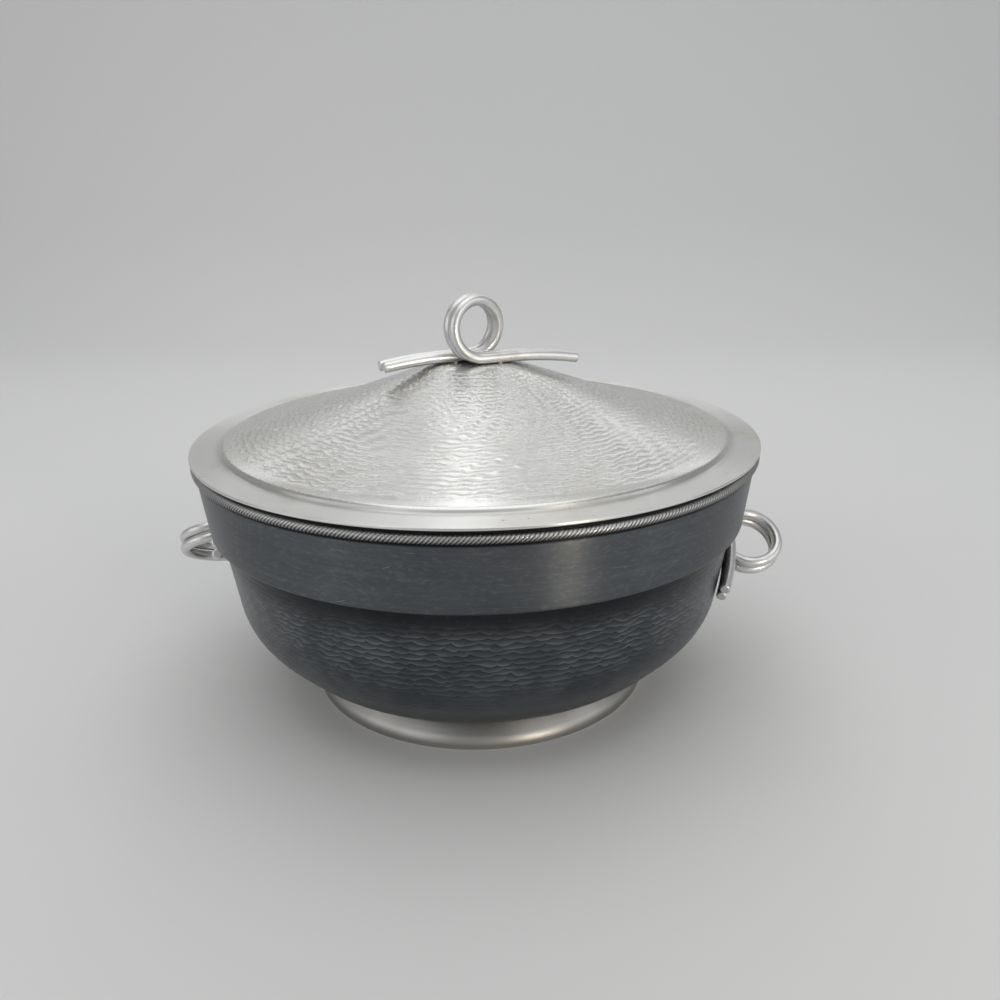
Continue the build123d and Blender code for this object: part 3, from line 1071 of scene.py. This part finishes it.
@dataclass
class RopeBead:
    """Half-round ring with slanting grooves like a rope."""

    radius: float = 0.1248
    bulge: float = 0.002
    low: float = 0.1116
    height: float = 0.0036
    wall: float = 0.0012
    strands: int = 480
    cuts: int = 6
    slant: float = 2.0
    depth: float = 0.00050
    narrowing: float = 1.6
    arc_parts: int = 9
    sharp_over: float = 75.0
    metal: SpunMetal = SpunMetal(
        name="rope_bead_metal",
        clean=(0.60, 0.60, 0.595, 1.0),
        dull=(0.42, 0.42, 0.415, 1.0),
        roughness=0.24,
        # Painted shade on the lower half of the bead.
        shade=(0.1116, 0.1143),
    )

    def outline(self) -> list[Vector]:
        """Half-round face and square back."""
        rise = self.height / 2
        middle = self.low + rise
        curve = []
        for part in range(self.arc_parts + 1):
            angle = math.radians(-90 + 180 * part / self.arc_parts)
            across = self.radius + self.bulge * math.cos(angle)
            curve.append(Vector((across, middle + rise * math.sin(angle))))
        inner = self.radius - self.wall
        return [*curve, Vector((inner, self.low + self.height)), Vector((inner, self.low)), curve[0]]

    def build(self) -> bpy.types.Object:
        """Spin the ring, press its grooves and dress it."""
        made = spin_outline("rope_bead", self.outline(), self.strands * self.cuts)
        spots = places(made)
        proud = np.clip((np.hypot(spots[:, 0], spots[:, 1]) - self.radius) / self.bulge, 0.0, 1.0)
        angle = np.arctan2(spots[:, 1], spots[:, 0])
        phase = angle / math.tau * self.strands - self.slant * (spots[:, 2] - self.low) / self.height
        grooves = 1.0 - np.abs(np.sin(math.pi * phase))
        sink(made, grooves**self.narrowing * np.sqrt(proud), self.depth)
        smooth(made, self.sharp_over)
        return dress(made, self.metal.material(), Body.BOWL, Slot.BEAD, "rim_bead")


@dataclass
class FootRing:
    """Sloping ring under the bowl with a rounded lower edge."""

    radius: float = 0.080
    shoulder: float = 0.0725
    flange: float = 0.0654
    top: float = 0.0125
    edge_height: float = 0.0035
    edge_bend: float = 0.0074
    shoulder_bend: float = 0.0029
    bend_spacing: float = 0.0005
    wall: float = 0.0014
    steps: int = 360
    metal: SpunMetal = SpunMetal(
        name="foot_metal",
        clean=(0.45, 0.445, 0.43, 1.0),
        dull=(0.31, 0.30, 0.28, 1.0),
        roughness=0.30,
    )

    def build(self) -> bpy.types.Object:
        """Spin and dress the ring."""
        face = [
            Corner(self.radius, 0.0, spacing=0.001),
            Corner(self.radius, self.edge_height, bend=self.edge_bend, spacing=self.bend_spacing),
            Corner(self.shoulder, self.top, bend=self.shoulder_bend, spacing=self.bend_spacing),
            Corner(self.flange, self.top),
        ]
        made = SpunSheet("foot_spun", face, self.wall, self.steps).build()
        smooth(made)
        return dress(made, self.metal.material(), Body.BOWL, Slot.BOWL, "foot_ring")


@dataclass
class FramePieces:
    """Pieces whose CAD shape stays and only gets a finish."""

    nodes: dict[str, bpy.types.Object]
    liners: tuple[str, ...] = ("inner_liner", "lid_liner")
    fillings: tuple[str, ...] = ("bowl_insulation", "lid_insulation")
    liner_metal: SpunMetal = SpunMetal(
        name="liner_satin",
        clean=(0.62, 0.62, 0.615, 1.0),
        dull=(0.50, 0.49, 0.47, 1.0),
        roughness=0.3,
        # The liner's outer edge gets painted shade, as it lies in the dark gap under the lid.
        edge_radius=0.1238,
    )
    rivet_metal: SpunMetal = SpunMetal(
        name="rivet_satin",
        clean=(0.60, 0.60, 0.60, 1.0),
        dull=(0.48, 0.47, 0.45, 1.0),
        roughness=0.35,
    )

    def dress(self) -> None:
        """Give each visible node its finish."""
        liner = self.liner_metal.material()
        rivet = self.rivet_metal.material()
        rod = SatinRod().material()
        fibre = FibreBlanket().material()
        for name, node in self.nodes.items():
            if node.hide_render:
                continue
            finish = rivet
            if name in self.liners:
                finish = liner
            elif name in self.fillings:
                finish = fibre
            elif name.endswith("rod"):
                finish = rod
            self.paint(node, finish)
            log.info("%s keeps its frame shape with %s", name, finish.name)

    def paint(self, node: bpy.types.Object, finish: bpy.types.Material) -> None:
        """Put a material in every slot of a node."""
        if not node.material_slots:
            node.data.materials.append(finish)
        for holder in node.material_slots:
            holder.material = finish


@dataclass(frozen=True)
class Lamp:
    """Rectangular soft lamp that faces the dish."""

    name: str
    place: tuple[float, float, float]
    size: tuple[float, float]
    power: float
    tint: tuple[float, float, float] = (1.0, 1.0, 1.0)
    spread: float = 180.0

    def build(self) -> None:
        """Hang the lamp."""
        data = bpy.data.lights.new(self.name, "AREA")
        data.shape = "RECTANGLE"
        data.size, data.size_y = self.size
        data.energy = self.power
        data.color = self.tint
        data.spread = math.radians(self.spread)
        made = bpy.data.objects.new(self.name, data)
        bpy.context.scene.collection.objects.link(made)
        made.location = self.place
        aim = DISH_MIDDLE - Vector(self.place)
        made.rotation_euler = aim.to_track_quat("-Z", "Y").to_euler()


@dataclass
class Studio:
    """Pale floor and backdrop, soft lamps, even light from all round and the camera."""

    eye: tuple[float, float, float] = (0.0225, -0.4035, 0.2250)
    down: float = 19.29
    turn: float = 1.7
    roll: float = -0.79
    lens: float = 32.4
    sensor: float = 36.0
    floor_size: float = 6.0
    wall_distance: float = 1.6
    wall_height: float = 2.6
    edge_reach: float = 0.01
    sweep: float = 0.7
    sweep_parts: int = 16
    sharp_over: float = 60.0
    sky: Colour = (0.97, 0.985, 1.0, 1.0)
    sky_strength: float = 0.34
    lamps: tuple[Lamp, ...] = (
        Lamp("overhead", place=(0.0, -0.1, 1.7), size=(1.6, 1.6), power=8.5),
        Lamp("high_strip", place=(0.0, 0.75, 1.15), size=(1.8, 0.12), power=1.0),
        Lamp("low_strip", place=(0.0, 1.0, 0.72), size=(1.8, 0.12), power=1.0),
        Lamp("streak", place=(-0.07, 0.75, 0.95), size=(0.10, 0.5), power=0.25),
        Lamp("left_panel", place=(-1.50, -1.05, 0.85), size=(2.1, 1.4), power=6.4),
        Lamp("right_panel", place=(1.55, -0.90, 0.85), size=(2.1, 1.4), power=6.6),
        Lamp(
            "right_strip",
            place=(0.77, -1.07, 0.22),
            size=(0.02, 0.42),
            power=0.15,
            tint=(1.0, 0.86, 0.66),
            spread=40.0,
        ),
    )

    def build(self) -> None:
        """Build the stage, the lamps and the camera."""
        self.floor()
        self.world()
        for lamp in self.lamps:
            lamp.build()
        self.camera()

    def floor(self) -> None:
        """Floor that sweeps up into a backdrop."""
        deselect()
        middle = (0.0, self.wall_distance - self.floor_size / 2, 0.0)
        bpy.ops.mesh.primitive_plane_add(size=self.floor_size, location=middle)
        made = bpy.context.active_object
        made.name = "floor"
        bpy.ops.object.transform_apply(location=True, rotation=False, scale=False)
        for face in made.data.polygons:
            face.select = False
        for vertex in made.data.vertices:
            vertex.select = vertex.co.y > self.wall_distance - self.edge_reach
        for edge in made.data.edges:
            edge.select = all(made.data.vertices[index].select for index in edge.vertices)
        bpy.ops.object.mode_set(mode="EDIT")
        bpy.ops.mesh.select_mode(type="EDGE")
        bpy.ops.mesh.extrude_region_move(TRANSFORM_OT_translate={"value": (0.0, 0.0, self.wall_height)})
        bpy.ops.object.mode_set(mode="OBJECT")
        rounding = made.modifiers.new("sweep", "BEVEL")
        rounding.width = self.sweep
        rounding.segments = self.sweep_parts
        rounding.limit_method = "ANGLE"
        bpy.ops.object.modifier_apply(modifier=rounding.name)
        smooth(made, self.sharp_over)
        made.data.materials.append(StageFinish().material())

    def world(self) -> None:
        """Even pale light from all round."""
        world = bpy.data.worlds.new("studio")
        world.use_nodes = True
        background = world.node_tree.nodes["Background"]
        background.inputs["Color"].default_value = self.sky
        background.inputs["Strength"].default_value = self.sky_strength
        bpy.context.scene.world = world

    def camera(self) -> None:
        """Camera at the photograph's place and angle."""
        data = bpy.data.cameras.new("camera")
        data.lens = self.lens
        data.sensor_width = self.sensor
        made = bpy.data.objects.new("camera", data)
        bpy.context.scene.collection.objects.link(made)
        made.location = self.eye
        turn = Euler((0.0, 0.0, math.radians(self.turn))).to_matrix()
        tilt = Euler((math.radians(90.0 - self.down), 0.0, 0.0)).to_matrix()
        roll = Euler((0.0, 0.0, math.radians(self.roll))).to_matrix()
        made.rotation_euler = (turn @ tilt @ roll).to_euler()
        bpy.context.scene.camera = made


def main() -> None:
    """Build every piece in order and report it."""
    logging.basicConfig(level=logging.INFO, format="%(name)s: %(message)s")
    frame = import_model()
    bpy.context.scene.view_settings.view_transform = "Standard"
    Studio().build()
    for piece in (Lid(), Bowl(), RopeBead(), FootRing()):
        piece.build()
    FramePieces(frame["nodes"]).dress()


if __name__ == "__main__":
    main()
